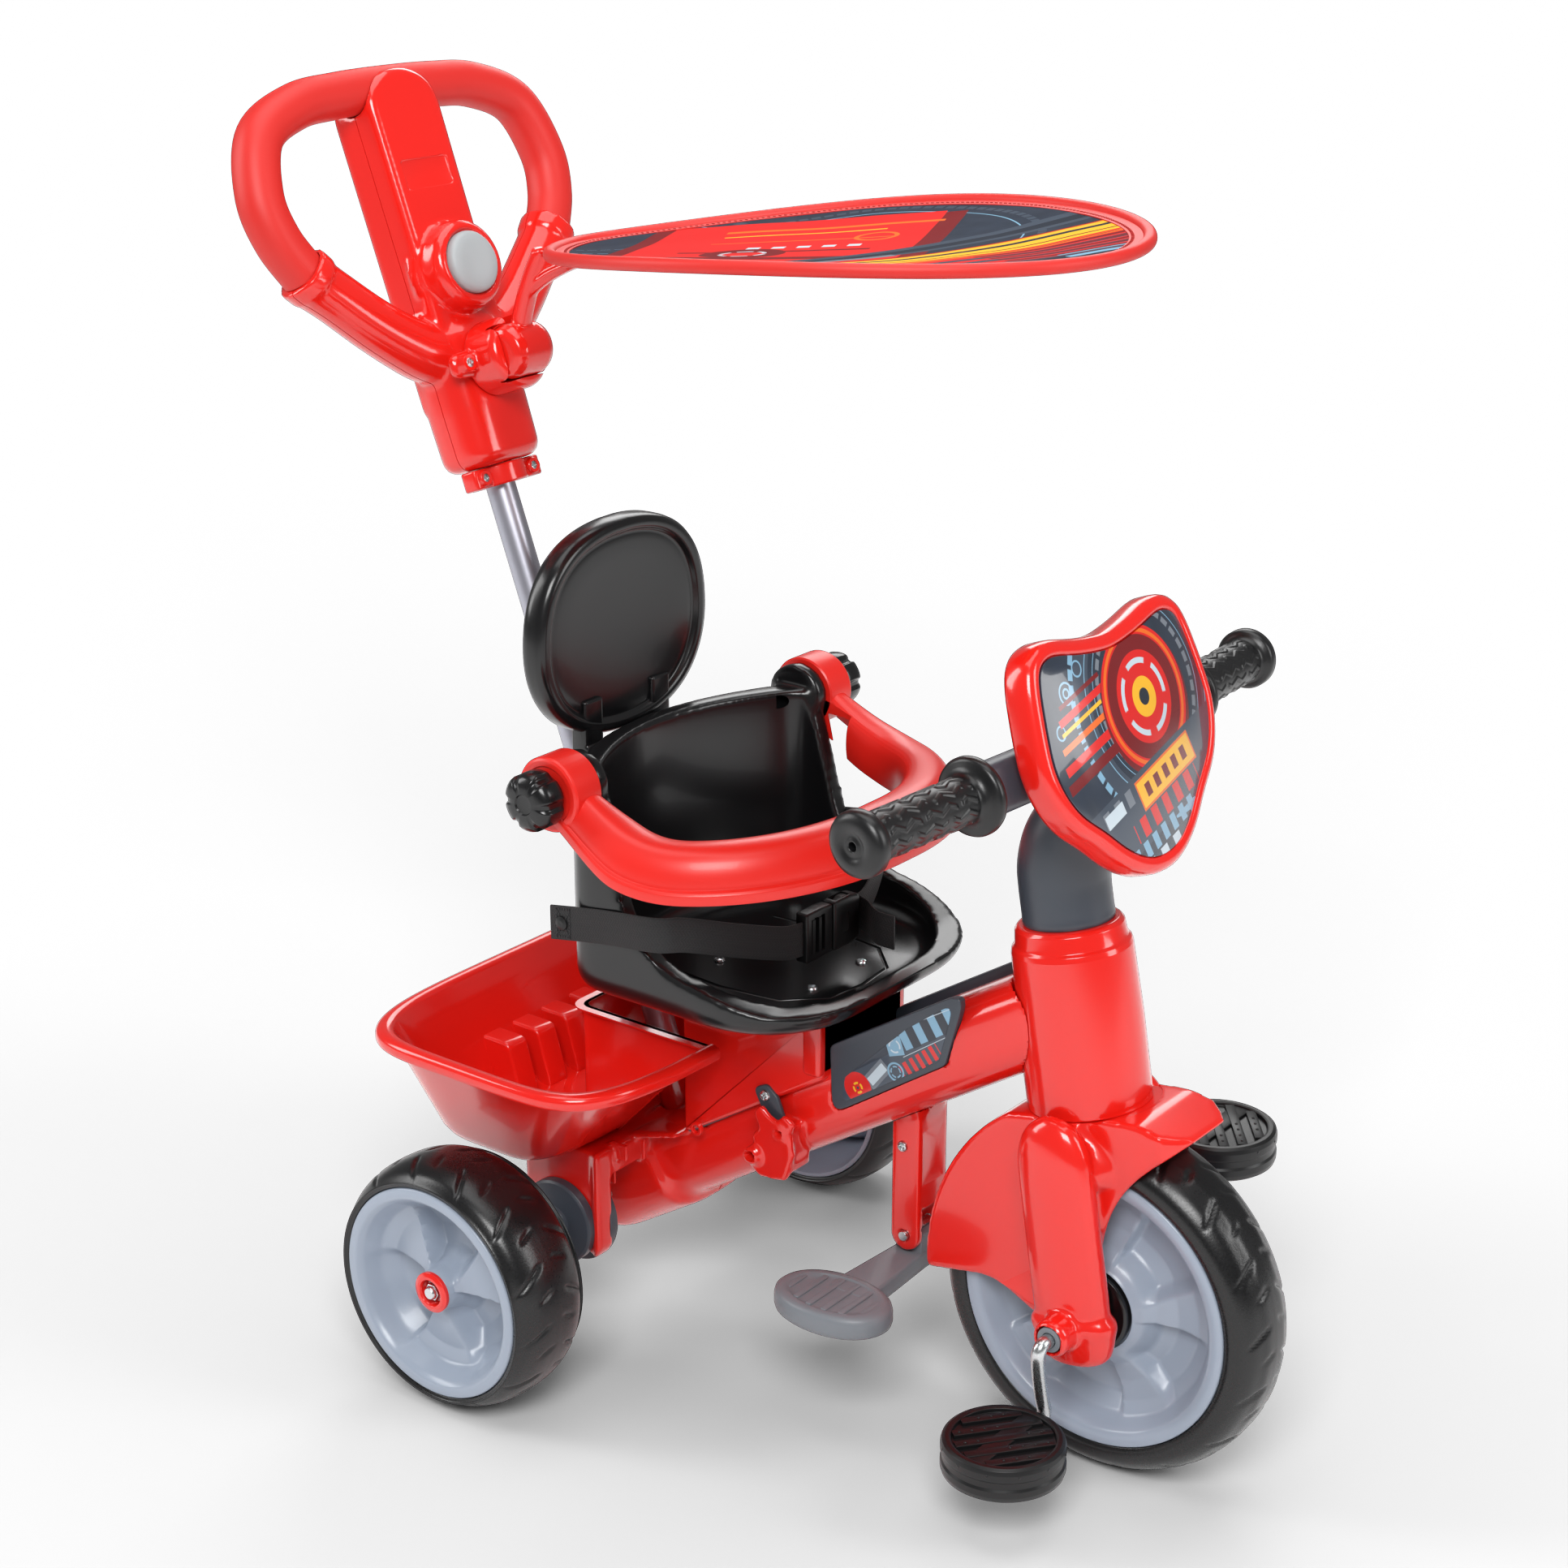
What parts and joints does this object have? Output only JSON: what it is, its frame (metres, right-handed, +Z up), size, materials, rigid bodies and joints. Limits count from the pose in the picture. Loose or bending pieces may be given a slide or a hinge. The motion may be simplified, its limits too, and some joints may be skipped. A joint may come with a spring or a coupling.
{
  "type": "tricycle",
  "caption": "Child's push tricycle with a parent push handle, sun canopy, bucket seat with safety ring, rear basket, fender fork and pedals on the front wheel.",
  "frame": {"origin": "bottom centre of the bounding box, on the floor", "axes": "+X forward, +Y to the rider's left, +Z up"},
  "size_m": [0.8126, 0.503, 0.9167],
  "materials": {
    "red_gloss": "gloss red moulded plastic",
    "red_soft": "satin red, soft to the touch",
    "black_gloss": "gloss black moulded plastic",
    "grip_rubber": "matt black with moulded tread",
    "tyre_black": "satin black with slanted grooves",
    "charcoal": "satin charcoal moulded plastic",
    "rim_grey": "satin blue-grey moulded plastic",
    "mid_grey": "satin mid grey moulded plastic",
    "button_grey": "matt light grey moulded plastic",
    "zinc": "bright zinc plated",
    "satin_steel": "satin silver tube",
    "webbing": "woven black webbing",
    "navy_print": null
  },
  "bodies": {
    "frame_body": {"frame_left": "red_gloss", "frame_right": "red_gloss", "pole_socket": "red_gloss", "head_sleeve": "red_gloss", "footrest_post": "red_gloss", "basket": "red_gloss", "pole_collar": "red_gloss", "handle_front_shell": "red_gloss", "handle_rear_shell": "red_gloss", "canopy_hub": "red_gloss", "handle_sleeve": "red_soft", "seat_bucket": "black_gloss", "backrest_upper": "black_gloss", "buckle_female": "black_gloss", "buckle_male": "black_gloss", "side_insert_left": "charcoal", "side_insert_right": "charcoal", "seat_bracket": "charcoal", "axle_bush_left": "charcoal", "axle_bush_right": "charcoal", "lower_head_bush": "mid_grey", "upper_head_bush": "mid_grey", "footrest_pin": "zinc", "rear_axle": "zinc", "axle_nut_left": "zinc", "axle_nut_right": "zinc", "push_pole": "satin_steel", "belt_left": "webbing", "belt_right": "webbing"},
    "steering": {"fork_fender": "red_gloss", "steering_stem": "satin_steel", "crank_bush_left": "mid_grey", "crank_bush_right": "mid_grey", "steering_neck": "charcoal", "handlebar": "charcoal", "grip_left": "grip_rubber", "grip_right": "grip_rubber", "front_panel": "red_gloss", "panel_plate": "navy_print"},
    "front_wheel": {"front_rim": "rim_grey", "front_tyre": "tyre_black", "hub_disc_left": "black_gloss", "hub_disc_right": "black_gloss", "crank_axle": "zinc"},
    "pedal_left_body": {"pedal_left": "grip_rubber"},
    "pedal_right_body": {"pedal_right": "grip_rubber"},
    "rear_wheel_left": {"rear_rim_left": "rim_grey", "rear_tyre_left": "tyre_black", "hub_bush_left": "red_gloss"},
    "rear_wheel_right": {"rear_rim_right": "rim_grey", "rear_tyre_right": "tyre_black", "hub_bush_right": "red_gloss"},
    "footrest_body": {"footrest": "mid_grey"},
    "ring_body": {"safety_ring": "red_gloss"},
    "knob_left_body": {"ring_knob_left": "black_gloss"},
    "knob_right_body": {"ring_knob_right": "black_gloss"},
    "canopy_body": {"canopy_arm": "red_gloss", "canopy_rim": "red_soft", "canopy_panel": "navy_print"},
    "button_body": {"handle_button": "button_grey"}
  },
  "joints": [
    {"name": "steering_turn", "type": "hinge", "parent": "frame_body", "child": "steering", "pos_m": [0.27834, 0, 0.128], "axis": [-0.1702, 0, 0.9854], "range_deg": [-30, 30]},
    {"name": "front_wheel_spin", "type": "hinge", "parent": "steering", "child": "front_wheel", "pos_m": [0.27834, 0, 0.128], "axis": [0, 1, 0], "continuous": true},
    {"name": "pedal_left_spin", "type": "hinge", "parent": "front_wheel", "child": "pedal_left_body", "pos_m": [0.28712, 0.1215, 0.19946], "axis": [0, 1, 0], "continuous": true},
    {"name": "pedal_right_spin", "type": "hinge", "parent": "front_wheel", "child": "pedal_right_body", "pos_m": [0.26957, -0.1215, 0.05654], "axis": [0, 1, 0], "continuous": true},
    {"name": "rear_wheel_left_spin", "type": "hinge", "parent": "frame_body", "child": "rear_wheel_left", "pos_m": [-0.13766, 0.216, 0.095], "axis": [0, 1, 0], "continuous": true},
    {"name": "rear_wheel_right_spin", "type": "hinge", "parent": "frame_body", "child": "rear_wheel_right", "pos_m": [-0.13766, -0.216, 0.095], "axis": [0, 1, 0], "continuous": true},
    {"name": "footrest_fold", "type": "hinge", "parent": "frame_body", "child": "footrest_body", "pos_m": [0.11334, 0, 0.125], "axis": [0, -1, 0], "range_deg": [-90, 0]},
    {"name": "ring_lift", "type": "hinge", "parent": "frame_body", "child": "ring_body", "pos_m": [-0.09266, 0, 0.458], "axis": [0, -1, 0], "range_deg": [0, 90]},
    {"name": "knob_left_turn", "type": "hinge", "parent": "ring_body", "child": "knob_left_body", "pos_m": [-0.09266, 0.172, 0.458], "axis": [0, 1, 0], "range_deg": [-90, 90]},
    {"name": "knob_right_turn", "type": "hinge", "parent": "ring_body", "child": "knob_right_body", "pos_m": [-0.09266, -0.172, 0.458], "axis": [0, 1, 0], "range_deg": [-90, 90]},
    {"name": "canopy_tilt", "type": "hinge", "parent": "frame_body", "child": "canopy_body", "pos_m": [-0.25295, 0, 0.72286], "axis": [0, 1, 0], "range_deg": [-30, 20]},
    {"name": "button_press", "type": "slide", "parent": "frame_body", "child": "button_body", "axis": [-0.9373, 0, -0.3486], "range_m": [0, 0.004], "stiffness_N_per_m": 400}
  ]
}
